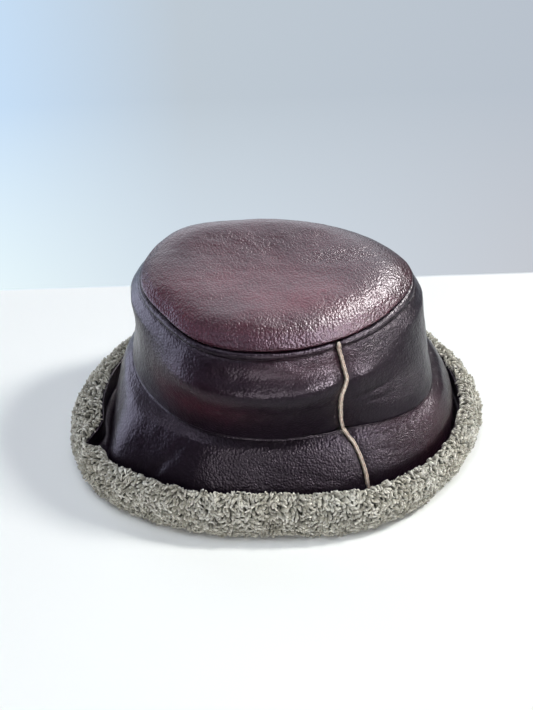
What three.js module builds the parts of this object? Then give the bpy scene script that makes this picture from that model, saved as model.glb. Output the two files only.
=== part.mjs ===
// A shearling bucket hat: dark leather outside, curly wool inside, the brim's edge turned up all round.
// Millimetres, +Z up. Azimuth 0 is +X, 90 is +Y; the front is -Y. Every shape is worked out round the
// crown's axis from the ring table, and the whole hat is then set down with its box centred on the origin.
import * as THREE from 'three';

// Driving dimensions
const LEATHER = 1.6; // thickness of the leather
const BAND_WOOL = 7; // depth of the wool inside the crown
const BRIM_WOOL = 9; // depth of the wool under the brim
const GAP = 0.35; // between the brim's ends where its seam has closed up
const WOOL_GAP = 0.85; // between the leather and the wool behind it
const TOP_CENTRE_Z = 124; // height that the top panel's dip is measured from
const FOLD_Z = 27; // height at which the brim turns into its fold
const AXIS = { x: -1.2, y: -6.7 }; // where the crown's axis stands in the hat's own frame
const SEAM_AZIMUTH = 298.8; // where the ends of both leather strips meet
const SEAM_WIDTH = 2; // of the raw edge that stands between them
const SEAM_ROOM = 3; // width that the strips leave for it
const SEAM_PROUD = 1.7; // how far it stands out of the leather

// The hat's rings, one row every 30 degrees from azimuth 0. R is a radius, Z a height; puff, waist and
// belly are how far the side swells outside the straight line between its two seams, brow the same for
// the brim, and woolR is how far out the wool of the turned-up edge reaches.
const RING_COLUMNS = [
  'topR', 'topZ', 'puff', 'waist', 'belly', 'seamR', 'seamZ', 'brow', 'brimR', 'edgeR', 'edgeZ', 'woolR',
];
const RINGS = [
  [94.5, 122, 4.5, 2, 1, 107, 60, 5, 127, 131, 29, 146.5], // 0
  [89, 122, 5.5, 5, 4, 104, 63, 5, 124, 128, 30, 142], // 30
  [82.5, 123.5, 6, 6, 5, 99, 66, 4, 119, 123, 31, 138], // 60
  [81, 125, 6, 6, 5, 96, 68, 4, 116, 120, 31, 135.5], // 90
  [85, 126, 6, 6, 5, 99, 68, 4, 118, 122, 31, 136], // 120
  [91, 123.5, 7, 4.5, 2.5, 103, 67.5, 4, 117, 123, 30, 139], // 150
  [86.5, 122.5, 5.5, 1, -1.5, 98, 64.5, 3, 114, 125.5, 29.5, 144], // 180
  [80, 121, 4.5, 4, 3, 92.5, 60.5, 3, 119, 126.5, 27.5, 143], // 210
  [84.5, 120, 6, 10.5, 7, 91, 58, 1, 115, 119, 30, 129], // 240
  [84.5, 119.5, 6, 12.5, 7.5, 88.5, 56.5, 1, 107, 111, 30.5, 121.5], // 270
  [84.5, 120, 4, 7.5, 5, 95, 58.5, 5, 118, 121, 28.5, 132], // 300
  [87, 120.5, 4, 2.5, 1.5, 113, 58, 5, 125, 128, 26, 138.5], // 330
];

// Local folds and corners, added to one column of the ring table.
const FOLDS = [
  { column: 'edgeR', azimuth: 200.5, width: 4.2, size: 11 }, // kink in the turned-up edge
  { column: 'edgeZ', azimuth: 200.5, width: 4.2, size: -3 },
  { column: 'edgeR', azimuth: 190, width: 6, size: -2.5 }, // the flap beside it leans in
  { column: 'edgeR', azimuth: 213, width: 6, size: 4 },
  { column: 'edgeR', azimuth: 180, width: 16, size: -3 },
  { column: 'brimR', azimuth: 211, width: 9, size: 9 }, // the brim's pressed corner
  { column: 'topR', azimuth: 132, width: 14, size: 4 }, // the crown's high back corner
  { column: 'topZ', azimuth: 138, width: 18, size: 2 },
];

// The seam wanders sideways on its way down: degrees off SEAM_AZIMUTH at each share of the way, in
// straight runs from row to row of the leather.
const BAND_WANDER = {
  at: [0, 0.2, 0.34, 0.5, 0.66, 0.82, 1],
  degrees: [-0.9, -0.3, -0.8, -3, -3.1, -2.4, -1.1],
};
const BRIM_WANDER = { at: [0, 0.2, 0.34, 0.6, 1], degrees: [-1.1, 0, 0.5, 1, 1] };
const VALLEY_WIDTH = 4.5; // degrees, of the hollow that the seam pulls into the leather
const BAND_VALLEY = 2.2; // its depth in the side, reached at the share BAND_VALLEY_FROM
const BAND_VALLEY_FROM = 0.2;
const BRIM_VALLEY = 1.6; // its depth in the brim, which fades out before the fold's bottom
const BRIM_VALLEY_TO = 0.74;

// How finely each piece is divided
const COLUMN_STEP = 7.2; // degrees
const KINK = { from: 190, to: 214, step: 2.4 };
const TOP_ROWS = [0, 0.3, 0.55, 0.74, 0.87, 0.95, 1];
const TOP_UNDER_ROWS = [1, 0.88, 0.74, 0.52, 0.26, 0];
const BAND_ROWS = [0, 0.045, 0.09, 0.2, 0.34, 0.5, 0.66, 0.82, 0.93, 1];
const BAND_UNDER_ROWS = [1, 0.82, 0.66, 0.5, 0.34, 0.2, 0.09, 0];
const BRIM_ROWS = [0, 0.03, 0.09, 0.2, 0.34, 0.6, 0.7, 0.76, 0.81, 0.88, 1];
const BRIM_UNDER_ROWS = [1, 0.88, 0.82, 0.78, 0.74, 0.6, 0.34, 0.12, 0];
const CUFF_ROWS = [0, 0.16, 0.33, 0.5, 0.68, 0.88];
const UNDERSIDE_ROWS = [0.6, 0.34, 0.06];
const BAND_SEAM_ROWS = [0.045, 0.09, 0.2, 0.34, 0.5, 0.66, 0.82, 0.93, 0.985];
const BRIM_SEAM_ROWS = [0.1, 0.2, 0.34, 0.59];
const SEAM_CLOSES = 0.6; // share down the brim below which its ends meet with no raw edge between them

// Wool locks on the turned-up edge: each stands out of the row by a share of LOCK, in turn.
const LOCK = 1.5;
const LOCK_AT_KINK = 0.3; // what is left of it where the leather's folds crowd the wool
const LOCK_SHARES = [1, -0.6, 0.4, -1, 0.8, -0.3, 0.6];

// Curves through tables

function bump(offset, width) {
  const turn = ((offset + 180) % 360 + 360) % 360 - 180;
  return Math.exp(-((turn / width) ** 2));
}

function ring(name, azimuth) {
  const column = RING_COLUMNS.indexOf(name);
  const place = (((azimuth % 360) + 360) % 360) * RINGS.length / 360;
  const row = Math.floor(place);
  const value = (shift) => RINGS[(row + shift + RINGS.length) % RINGS.length][column];
  const t = place - row;
  const [a, b, c, d] = [value(-1), value(0), value(1), value(2)];
  const smooth = b + 0.5 * ((c - a) * t + (2 * a - 5 * b + 4 * c - d) * t ** 2
    + (3 * b - a - 3 * c + d) * t ** 3);
  return FOLDS.filter((fold) => fold.column === name)
    .reduce((sum, fold) => sum + fold.size * bump(azimuth - fold.azimuth, fold.width), smooth);
}

// A smooth curve through values that stand at uneven knots.
function through(knots, values, x) {
  const last = knots.length - 1;
  let i = 0;
  while (i < last - 1 && x >= knots[i + 1]) i += 1;
  const slope = (k) => {
    const [before, after] = [Math.max(k - 1, 0), Math.min(k + 1, last)];
    return (values[after] - values[before]) / (knots[after] - knots[before]);
  };
  const span = knots[i + 1] - knots[i];
  const t = (x - knots[i]) / span;
  return (2 * t ** 3 - 3 * t ** 2 + 1) * values[i] + (t ** 3 - 2 * t ** 2 + t) * span * slope(i)
    + (3 * t ** 2 - 2 * t ** 3) * values[i + 1] + (t ** 3 - t ** 2) * span * slope(i + 1);
}

function wandering({ at, degrees }, s) {
  const i = Math.min(at.findLastIndex((share) => share <= s), at.length - 2);
  return SEAM_AZIMUTH + degrees[i] + (degrees[i + 1] - degrees[i]) * (s - at[i]) / (at[i + 1] - at[i]);
}

const bandSeamAzimuth = (s) => wandering(BAND_WANDER, s);
const brimSeamAzimuth = (s) => wandering(BRIM_WANDER, s);

// The leather's outer face. Each takes an azimuth and the share s of the way along the piece, from the
// crown's centre or top seam outwards and down, and gives a radius and a height.

function topFace(azimuth, s) {
  const knots = [0, 0.3, 0.52, 0.68, 0.8, 0.89, 0.95, 1];
  const share = through(knots, [0, 0.36, 0.62, 0.79, 0.905, 0.972, 1, 0.992], s);
  const dome = through(knots, [3, 4.8, 7.2, 7.6, 5.9, 3.4, 1.9, 0.4], s);
  const lean = (ring('topZ', azimuth) - TOP_CENTRE_Z) * share ** 2;
  return { r: ring('topR', azimuth) * share, z: TOP_CENTRE_Z + lean + dome };
}

function bandLine(azimuth, s) {
  const [topR, topZ, seamR, seamZ] = ['topR', 'topZ', 'seamR', 'seamZ'].map((name) => ring(name, azimuth));
  return { r: topR + (seamR - topR) * s, z: topZ + (seamZ - topZ) * s };
}

function bandValley(azimuth, s) {
  const grown = Math.min(1, s / BAND_VALLEY_FROM);
  return BAND_VALLEY * grown * bump(azimuth - bandSeamAzimuth(s), VALLEY_WIDTH);
}

function bandFace(azimuth, s) {
  const [puff, waist, belly] = ['puff', 'waist', 'belly'].map((name) => ring(name, azimuth));
  const knots = [0, 0.045, 0.09, 0.2, 0.36, 0.62, 0.86, 0.96, 1];
  const out = [
    -1.2, 1.5, 0.4, puff + 0.5, waist + 2, belly + 1.5, 0.35 * belly + 0.7, 0.1 * belly + 0.6, -1.2,
  ];
  const line = bandLine(azimuth, s);
  return { r: line.r + through(knots, out, s) - bandValley(azimuth, s), z: line.z };
}

function bandUnderFace(azimuth, s) {
  const [puff, waist, belly] = ['puff', 'waist', 'belly'].map((name) => ring(name, azimuth));
  const out = [-1.2, 0.1, puff, waist + 2, belly + 1.5, 0.35 * belly + 0.6, -1.2];
  const line = bandLine(azimuth, s);
  return {
    r: line.r + through([0, 0.09, 0.2, 0.36, 0.62, 0.86, 1], out, s) - bandValley(azimuth, s) - LEATHER,
    z: line.z,
  };
}

function brimFace(azimuth, s) {
  const [seamR, seamZ, brimR, edgeR, edgeZ, brow] = ['seamR', 'seamZ', 'brimR', 'edgeR', 'edgeZ', 'brow']
    .map((name) => ring(name, azimuth));
  const reach = brimR - seamR;
  const drop = seamZ - FOLD_Z;
  const back = Math.max(edgeR, brimR + 3.5);
  const knots = [0, 0.03, 0.08, 0.2, 0.42, 0.6, 0.7, 0.76, 0.81, 0.88, 1];
  const radii = [
    seamR - 2.8, seamR - 1.4, seamR + 0.8,
    seamR + 0.28 * reach + 0.8 * brow, seamR + 0.72 * reach + 0.7 * brow, brimR,
    brimR + 2.2, brimR + 4.2, Math.max(brimR + 6.5, back + 1), Math.max(brimR + 7, back + 1.5), edgeR,
  ];
  const heights = [
    seamZ - 0.35, seamZ - 0.9, seamZ - 1.4, seamZ - 0.18 * drop, seamZ - 0.62 * drop,
    FOLD_Z, 18, 13.5, 13.5, 17.5, edgeZ,
  ];
  const fading = THREE.MathUtils.clamp((BRIM_VALLEY_TO - s) / 0.14, 0, 1);
  const valley = BRIM_VALLEY * Math.min(s / 0.1, fading) * bump(azimuth - brimSeamAzimuth(s), VALLEY_WIDTH);
  return { r: through(knots, radii, s) - valley, z: through(knots, heights, s) };
}

// A face moved in by depth, square to its own run down the piece.
function inward(face, azimuth, s, depth) {
  const step = 0.01;
  const before = face(azimuth, Math.max(s - step, 0));
  const after = face(azimuth, Math.min(s + step, 1));
  const [dr, dz] = [after.r - before.r, after.z - before.z];
  const length = Math.hypot(dr, dz);
  const at = face(azimuth, s);
  return { r: at.r + dz / length * depth, z: at.z - dr / length * depth };
}

function cuffWoolFace(azimuth, s) {
  const [brimR, edgeR, edgeZ, woolR] = ['brimR', 'edgeR', 'edgeZ', 'woolR']
    .map((name) => ring(name, azimuth));
  const reach = woolR - edgeR;
  const knots = [0, 0.15, 0.35, 0.6, 0.8, 0.92, 1];
  const radii = [
    edgeR + LEATHER + WOOL_GAP + 0.5, edgeR + 0.38 * reach, edgeR + 0.8 * reach, woolR,
    woolR - 3.5, woolR - 9, brimR - 4,
  ];
  const heights = [edgeZ + 0.6, edgeZ + 2.4, edgeZ - 3.5, 15, 5, 1, 0];
  return { r: through(knots, radii, s), z: through(knots, heights, s) };
}

// Solids

function point({ r, z }, azimuth) {
  const turn = THREE.MathUtils.degToRad(azimuth);
  return [AXIS.x + r * Math.cos(turn), AXIS.y + r * Math.sin(turn), z];
}

function geometry(rows, faces) {
  const shape = new THREE.BufferGeometry();
  shape.setAttribute('position', new THREE.Float32BufferAttribute(rows.flat(), 3));
  shape.setIndex(faces);
  shape.computeVertexNormals();
  return shape;
}

// Joins columns of points, each a closed outline that runs down the outside and back up the inside. The
// rows from turned[0] to turned[1] are split along the other diagonal, to lie along a neighbour's facets.
function wall(columns, { joined, turned = [0, 0] }) {
  const count = columns[0].length;
  const faces = [];
  const last = joined ? columns.length : columns.length - 1;
  for (let j = 0; j < last; j += 1) {
    const here = j * count;
    const next = ((j + 1) % columns.length) * count;
    for (let i = 0; i < count; i += 1) {
      const k = (i + 1) % count;
      if (i >= turned[0] && i < turned[1]) {
        faces.push(here + i, here + k, next + i, here + k, next + k, next + i);
      } else {
        faces.push(here + i, here + k, next + k, here + i, next + k, next + i);
      }
    }
  }
  return { points: columns.flat(), faces };
}

// Triangles across the end of a strip, between its outer rows and its inner ones, row by row.
function endCap(rows, count) {
  const faces = [];
  let [outer, inner] = [0, rows.length - 1];
  while (outer < count - 1 || inner > count) {
    const stepOuter = inner === count || (outer < count - 1 && rows[outer + 1] <= rows[inner - 1]);
    faces.push(stepOuter ? [outer, inner, outer + 1] : [outer, inner, inner - 1]);
    if (stepOuter) outer += 1;
    else inner -= 1;
  }
  return faces;
}

// A strip that runs round from one side of the seam to the other.
function stripSolid({ turns, azimuthAt, outerRows, innerRows, outerFace, innerFace }) {
  const rows = [...outerRows, ...innerRows];
  const columns = turns.map((turn) => rows.map((s, i) => {
    const azimuth = azimuthAt(turn, s);
    return point((i < outerRows.length ? outerFace : innerFace)(azimuth, s), azimuth);
  }));
  const { points, faces } = wall(columns, { joined: false });
  const end = (columns.length - 1) * rows.length;
  for (const [a, b, c] of endCap(rows, outerRows.length)) {
    faces.push(a, b, c, end + c, end + b, end + a);
  }
  return geometry(points, faces);
}

// A disc: every column starts and ends on the axis.
function discSolid(azimuths, outline) {
  const columns = azimuths.map((azimuth) => outline(azimuth).map((at) => point(at, azimuth)));
  const rows = columns[0].length - 2;
  const points = columns.flatMap((column) => column.slice(1, -1));
  points.push(columns[0][0], columns[0].at(-1));
  const [upper, lower] = [points.length - 2, points.length - 1];
  const faces = [];
  columns.forEach((_, j) => {
    const here = j * rows;
    const next = ((j + 1) % columns.length) * rows;
    faces.push(upper, here, next);
    for (let i = 0; i < rows - 1; i += 1) {
      faces.push(here + i, here + i + 1, next + i + 1, here + i, next + i + 1, next + i);
    }
    faces.push(here + rows - 1, lower, next + rows - 1);
  });
  return geometry(points, faces);
}

function evenTurns(step) {
  return Array.from({ length: Math.round(360 / step) }, (_, k) => k * step);
}

// The brim's columns stand closer together at the kink. Turns count from the seam.
function brimTurns() {
  const turns = [];
  for (let turn = 0; turn < 360 - 0.01;) {
    turns.push(turn);
    const azimuth = (turn + SEAM_AZIMUTH) % 360;
    turn += azimuth >= KINK.from && azimuth < KINK.to ? KINK.step : COLUMN_STEP;
  }
  return [...turns, 360];
}

const BAND_TURNS = [...evenTurns(COLUMN_STEP), 360];
const BRIM_TURNS = brimTurns();

// Where a strip's column stands at the share s of the way down: its ends follow the seam's wandering, and
// stand apart by the raw edge between them, or by a plain gap where the seam has closed up.
function bandAzimuth(turn, s) {
  const room = THREE.MathUtils.radToDeg(SEAM_ROOM / 2 / ring('topR', SEAM_AZIMUTH));
  return bandSeamAzimuth(s) + room + turn * (1 - room / 180);
}

function brimAzimuth(turn, s) {
  const sideways = s <= SEAM_CLOSES ? SEAM_ROOM / 2 : GAP / 2;
  const room = THREE.MathUtils.radToDeg(sideways / ring('seamR', SEAM_AZIMUTH));
  return brimSeamAzimuth(s) + room + turn * (1 - room / 180);
}

// The pieces

function topPanel() {
  return discSolid(evenTurns(COLUMN_STEP), (azimuth) => [
    ...TOP_ROWS.map((s) => topFace(azimuth, s)),
    ...TOP_UNDER_ROWS.map((s) => inward(topFace, azimuth, s, LEATHER)),
  ]);
}

function sideBand() {
  return stripSolid({
    turns: BAND_TURNS,
    azimuthAt: bandAzimuth,
    outerRows: BAND_ROWS,
    innerRows: BAND_UNDER_ROWS,
    outerFace: bandFace,
    innerFace: bandUnderFace,
  });
}

function brimLeather() {
  return stripSolid({
    turns: BRIM_TURNS,
    azimuthAt: brimAzimuth,
    outerRows: BRIM_ROWS,
    innerRows: BRIM_UNDER_ROWS,
    outerFace: brimFace,
    innerFace: (azimuth, s) => inward(brimFace, azimuth, s, LEATHER),
  });
}

// A face moved towards the axis.
function towardsAxis(face, azimuth, s, depth) {
  const { r, z } = face(azimuth, s);
  return { r: r - depth, z };
}

// The raw edge of a seam: a narrow bar that follows the leather's outer face down the seam's line.
function seamBar(face, seamAzimuth, rows, sunk) {
  const columns = rows.map((s) => {
    const middle = seamAzimuth(s);
    const half = THREE.MathUtils.radToDeg(SEAM_WIDTH / 2 / face(middle, s).r);
    const [outer, inner] = [-SEAM_PROUD, LEATHER * 0.9].map((depth) => sunk(face, middle, s, depth));
    const [before, after] = [middle - half, middle + half];
    return [point(outer, before), point(inner, before), point(inner, after), point(outer, after)];
  });
  const { points, faces } = wall(columns, { joined: false });
  const end = (rows.length - 1) * 4;
  faces.push(3, 2, 1, 3, 1, 0, end, end + 1, end + 2, end, end + 2, end + 3);
  return geometry(points, faces);
}

function topFleece() {
  const rim = (azimuth) => ring('topR', azimuth) - LEATHER - BAND_WOOL - WOOL_GAP;
  const under = (azimuth, share, depth) => {
    const faces = TOP_ROWS.map((s) => topFace(azimuth, s));
    const r = rim(azimuth) * share;
    return { r, z: through(faces.map((at) => at.r), faces.map((at) => at.z), r) - depth };
  };
  const depth = LEATHER * 1.15 + WOOL_GAP;
  return discSolid(evenTurns(2 * COLUMN_STEP), (azimuth) => [
    ...[0, 0.28, 0.55, 0.78, 0.92, 1].map((share) => under(azimuth, share, depth)),
    ...[0.985, 0.6, 0].map((share) => under(azimuth, share, depth + BAND_WOOL)),
  ]);
}

// The band's wool lies along the leather's flat facets, from just under its top seam to its lower one.
function bandFleece() {
  const rows = [...BAND_UNDER_ROWS].reverse();
  const inset = 0.05;
  const inside = (turn, s, depth) => {
    const azimuth = bandAzimuth(turn, s);
    const { r, z } = bandUnderFace(azimuth, s);
    return { r: r - depth, z, azimuth };
  };
  const top = (turn, depth) => {
    const [above, below] = [inside(turn, rows[0], depth), inside(turn, rows[1], depth)];
    const t = inset / rows[1];
    return {
      r: above.r + (below.r - above.r) * t,
      z: above.z + (below.z - above.z) * t,
      azimuth: above.azimuth + (below.azimuth - above.azimuth) * t,
    };
  };
  const columns = BAND_TURNS.map((turn) => [
    top(turn, 2 * WOOL_GAP),
    ...rows.slice(1).map((s) => inside(turn, s, WOOL_GAP)),
    ...[1, 0.5].map((s) => inside(turn, s, WOOL_GAP + BAND_WOOL)),
    top(turn, WOOL_GAP + BAND_WOOL),
  ].map((at) => point(at, at.azimuth)));
  const { points, faces } = wall(columns, { joined: true, turned: [0, rows.length - 1] });
  return geometry(points, faces);
}

// The brim's wool: up the outside of the turned-up edge, round the fold, and under the brim to the seam.
// Its back lies along the leather's flat facets; its outside has twice as many columns, for the locks.
function brimFleece() {
  const leatherRows = [...BRIM_UNDER_ROWS].reverse();
  const front = (azimuth, lock) => {
    const brimR = ring('brimR', azimuth);
    const turn = (azimuth + 360) % 360;
    const size = turn > KINK.from && turn < KINK.to ? LOCK * LOCK_AT_KINK : LOCK;
    const cuff = CUFF_ROWS.map((s, row) => {
      const share = LOCK_SHARES[(lock * 3 + row * 2) % LOCK_SHARES.length];
      const loose = s > 0 && s < CUFF_ROWS.at(-1);
      return inward(cuffWoolFace, azimuth, s, loose ? -size * share : 0);
    });
    const sole = [{ r: brimR + 6, z: 0 }, { r: brimR - 6, z: 0 }, { r: brimR - 11.5, z: 5 }];
    const underside = UNDERSIDE_ROWS.map((s) => {
      const { r, z } = brimFace(azimuth, s);
      return { r: r - LEATHER - WOOL_GAP - BRIM_WOOL, z };
    });
    return [...cuff, ...sole, ...underside].map((at) => point(at, azimuth));
  };
  const back = (turn) => leatherRows.map((s) => {
    const azimuth = brimAzimuth(turn, s);
    return point(inward(brimFace, azimuth, s, LEATHER + WOOL_GAP), azimuth);
  });
  const backs = BRIM_TURNS.map(back);
  const columns = BRIM_TURNS.flatMap((turn, j) => {
    const column = [...front(brimAzimuth(turn, 1), 2 * j), ...backs[j]];
    if (turn === 360) return [column];
    const halfway = (turn + BRIM_TURNS[j + 1]) / 2;
    const middle = backs[j].map((at, i) => at.map((value, axis) => (value + backs[j + 1][i][axis]) / 2));
    return [column, [...front(brimAzimuth(halfway, 1), 2 * j + 1), ...middle]];
  });
  const outline = columns[0].length;
  const turned = [outline - leatherRows.length, outline];
  const { points, faces } = wall(columns, { joined: true, turned });
  return geometry(points, faces);
}

// The hat

const leather = { color: 0x3b2427, roughness: 0.42, metalness: 0 };
const cutEdge = { color: 0x9a7768, roughness: 0.9, metalness: 0 };
const wool = { color: 0xb3aa98, roughness: 1, metalness: 0 };

const PIECES = [
  ['top_panel', topPanel(), leather],
  ['side_band', sideBand(), leather],
  ['brim', brimLeather(), leather],
  ['band_seam', seamBar(bandFace, bandSeamAzimuth, BAND_SEAM_ROWS, towardsAxis), cutEdge],
  ['brim_seam', seamBar(brimFace, brimSeamAzimuth, BRIM_SEAM_ROWS, inward), cutEdge],
  ['top_fleece', topFleece(), wool],
  ['band_fleece', bandFleece(), wool],
  ['brim_fleece', brimFleece(), wool],
];

const hat = new THREE.Group();
for (const [name, shape, colours] of PIECES) {
  const mesh = new THREE.Mesh(shape, new THREE.MeshStandardMaterial(colours));
  mesh.name = name;
  hat.add(mesh);
}

export default hat;
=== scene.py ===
import math
from itertools import product

import bpy
import numpy as np
from mathutils import Matrix, Vector


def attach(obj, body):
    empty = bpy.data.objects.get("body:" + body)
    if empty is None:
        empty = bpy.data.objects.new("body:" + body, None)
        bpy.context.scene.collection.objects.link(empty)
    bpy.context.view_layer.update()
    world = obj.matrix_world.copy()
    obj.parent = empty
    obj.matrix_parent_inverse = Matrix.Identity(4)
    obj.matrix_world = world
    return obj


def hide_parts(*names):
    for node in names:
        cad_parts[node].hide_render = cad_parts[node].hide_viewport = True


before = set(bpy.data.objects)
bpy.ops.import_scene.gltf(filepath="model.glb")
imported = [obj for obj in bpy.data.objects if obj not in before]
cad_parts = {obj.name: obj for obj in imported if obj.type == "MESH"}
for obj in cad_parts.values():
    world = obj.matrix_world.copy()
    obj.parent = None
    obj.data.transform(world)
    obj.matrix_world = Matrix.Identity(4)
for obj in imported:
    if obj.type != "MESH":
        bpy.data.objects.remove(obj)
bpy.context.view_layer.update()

MM = 0.001  # metres in a millimetre

# Driving dimensions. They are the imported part's own, but for the seam, which is drawn narrower here.
LEATHER = 1.6  # thickness of the leather
BAND_WOOL = 7  # depth of the wool inside the crown
BRIM_WOOL = 9  # depth of the wool under the brim
WOOL_GAP = 0.85  # between the leather and the wool behind it
TOP_CENTRE_Z = 124  # height that the top panel's dip is measured from
FOLD_Z = 27  # height at which the brim turns into its fold
AXIS = (-1.2, -6.7)  # where the crown's axis stands
SEAM_AZIMUTH = 298.8  # where the ends of both leather strips meet
SEAM_WIDTH = 1.6  # of the raw edge that stands between them
SEAM_ROOM = 2.2  # width that the strips leave for it
GAP = 0.35  # between the brim's ends where its seam has closed up

# The hat's rings, one row every 30 degrees from azimuth 0. R is a radius, Z a height; puff, waist and
# belly are how far the side swells outside the straight line between its two seams, brow the same for
# the brim, and woolR is how far out the wool of the turned-up edge reaches.
RING_COLUMNS = [
    "topR", "topZ", "puff", "waist", "belly", "seamR", "seamZ", "brow", "brimR", "edgeR", "edgeZ", "woolR",
]
RINGS = np.array([
    [94.5, 122, 4.5, 2, 1, 107, 60, 5, 127, 131, 29, 146.5],  # 0
    [89, 122, 5.5, 5, 4, 104, 63, 5, 124, 128, 30, 142],  # 30
    [82.5, 123.5, 6, 6, 5, 99, 66, 4, 119, 123, 31, 138],  # 60
    [81, 125, 6, 6, 5, 96, 68, 4, 116, 120, 31, 135.5],  # 90
    [85, 126, 6, 6, 5, 99, 68, 4, 118, 122, 31, 136],  # 120
    [91, 123.5, 7, 4.5, 2.5, 103, 67.5, 4, 117, 123, 30, 139],  # 150
    [86.5, 122.5, 5.5, 1, -1.5, 98, 64.5, 3, 114, 125.5, 29.5, 144],  # 180
    [80, 121, 4.5, 4, 3, 92.5, 60.5, 3, 119, 126.5, 27.5, 143],  # 210
    [84.5, 120, 6, 10.5, 7, 91, 58, 1, 115, 119, 30, 129],  # 240
    [84.5, 119.5, 6, 12.5, 7.5, 88.5, 56.5, 1, 107, 111, 30.5, 121.5],  # 270
    [84.5, 120, 4, 7.5, 5, 95, 58.5, 5, 118, 121, 28.5, 132],  # 300
    [87, 120.5, 4, 2.5, 1.5, 113, 58, 5, 125, 128, 26, 138.5],  # 330
], float)

# Local folds and corners, added to one column of the ring table: column, azimuth, width in degrees, size.
FOLDS = [
    ("edgeR", 200.5, 4.2, 11),  # kink in the turned-up edge
    ("edgeZ", 200.5, 4.2, -3),
    ("edgeR", 190, 6, -2.5),  # the flap beside it leans in
    ("edgeR", 213, 6, 4),
    ("edgeR", 180, 16, -3),
    ("brimR", 211, 9, 9),  # the brim's pressed corner
    ("topR", 132, 14, 4),  # the crown's high back corner
    ("topZ", 138, 18, 2),
]

# The seam wanders sideways on its way down: shares of the way, and degrees off SEAM_AZIMUTH there.
BAND_WANDER = ([0, 0.2, 0.34, 0.5, 0.66, 0.82, 1], [-0.9, -0.3, -0.8, -3.0, -3.1, -2.4, -1.1])
BRIM_WANDER = ([0, 0.2, 0.34, 0.6, 1], [-1.1, 0, 0.5, 1, 1])
VALLEY_WIDTH = 4.5  # degrees, of the hollow that the seam pulls into the leather
BAND_VALLEY = 2.2  # its depth in the side, reached at the share BAND_VALLEY_FROM
BAND_VALLEY_FROM = 0.2
BRIM_VALLEY = 1.6  # its depth in the brim, reached at the share BRIM_VALLEY_FROM
BRIM_VALLEY_FROM = 0.1
BRIM_VALLEY_TO = 0.74  # share at which it has faded out, over VALLEY_FADE
VALLEY_FADE = 0.14
SEAM_CLOSES = 0.6  # share down the brim below which its ends meet with no raw edge between them
ROLL = 1.1  # how deep the leather rolls in beside the seam
ROLL_WIDTH = 2.6  # how far from the seam the roll reaches
ROLL_FADE = 0.1  # share of the way over which the roll ends


# Curves through tables. Azimuths and shares are arrays that broadcast together.

def bump(offset, width):
    turn = (offset + 180) % 360 - 180
    return np.exp(-((turn / width) ** 2))


def ring(name, azimuth):
    column = RINGS[:, RING_COLUMNS.index(name)]
    place = (azimuth % 360) * len(RINGS) / 360
    row = np.floor(place).astype(int)
    t = place - row
    a, b, c, d = (column[(row + shift) % len(RINGS)] for shift in (-1, 0, 1, 2))
    smooth = b + 0.5 * ((c - a) * t + (2 * a - 5 * b + 4 * c - d) * t ** 2
                        + (3 * b - a - 3 * c + d) * t ** 3)
    for column_name, at, width, size in FOLDS:
        if column_name == name:
            smooth = smooth + size * bump(azimuth - at, width)
    return smooth


def through(knots, values, x):
    """A smooth curve through values, one number or array for each knot."""
    *values, x = np.broadcast_arrays(*values, x)
    table = np.stack(values).astype(float)
    knots = np.asarray(knots, float)
    last = len(knots) - 1
    i = np.clip(np.searchsorted(knots, x, side="right") - 1, 0, last - 1)

    def value(k):
        return np.take_along_axis(table, k[None], 0)[0]

    def slope(k):
        before, after = np.maximum(k - 1, 0), np.minimum(k + 1, last)
        return (value(after) - value(before)) / (knots[after] - knots[before])

    span = knots[i + 1] - knots[i]
    t = (x - knots[i]) / span
    return ((2 * t ** 3 - 3 * t ** 2 + 1) * value(i) + (t ** 3 - 2 * t ** 2 + t) * span * slope(i)
            + (3 * t ** 2 - 2 * t ** 3) * value(i + 1) + (t ** 3 - t ** 2) * span * slope(i + 1))


def rings(azimuth, *names):
    return [ring(name, azimuth) for name in names]


def band_seam_azimuth(s):
    return SEAM_AZIMUTH + np.interp(s, *BAND_WANDER)


def brim_seam_azimuth(s):
    return SEAM_AZIMUTH + np.interp(s, *BRIM_WANDER)


def band_valley(azimuth, s):
    grown = np.minimum(1, s / BAND_VALLEY_FROM)
    return BAND_VALLEY * grown * bump(azimuth - band_seam_azimuth(s), VALLEY_WIDTH)


# The leather's outer face: a radius and a height at an azimuth and a share s of the way along the piece

def top_face(azimuth, s):
    knots = [0, 0.3, 0.52, 0.68, 0.8, 0.89, 0.95, 1]
    share = through(knots, [0, 0.36, 0.62, 0.79, 0.905, 0.972, 1, 0.992], s)
    dome = through(knots, [3, 4.8, 7.2, 7.6, 5.9, 3.4, 1.9, 0.4], s)
    top_r, top_z = rings(azimuth, "topR", "topZ")
    return top_r * share, TOP_CENTRE_Z + (top_z - TOP_CENTRE_Z) * share ** 2 + dome


def band_face(azimuth, s):
    top_r, top_z, seam_r, seam_z = rings(azimuth, "topR", "topZ", "seamR", "seamZ")
    puff, waist, belly = rings(azimuth, "puff", "waist", "belly")
    knots = [0, 0.012, 0.026, 0.05, 0.064, 0.074, 0.092, 0.14, 0.2, 0.36, 0.62, 0.86, 0.95, 0.98, 1]
    out = [-1.6, 0.5, 1.4, 1.5, 0.9, 0.3, 1.7, 0.6 * puff + 0.6, puff + 0.4, waist + 2, belly + 1.5,
           0.35 * belly + 0.7, 0.1 * belly + 0.6, 0.1 * belly, -1.2]
    r = top_r + (seam_r - top_r) * s + through(knots, out, s) - band_valley(azimuth, s)
    return r, top_z + (seam_z - top_z) * s


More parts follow.
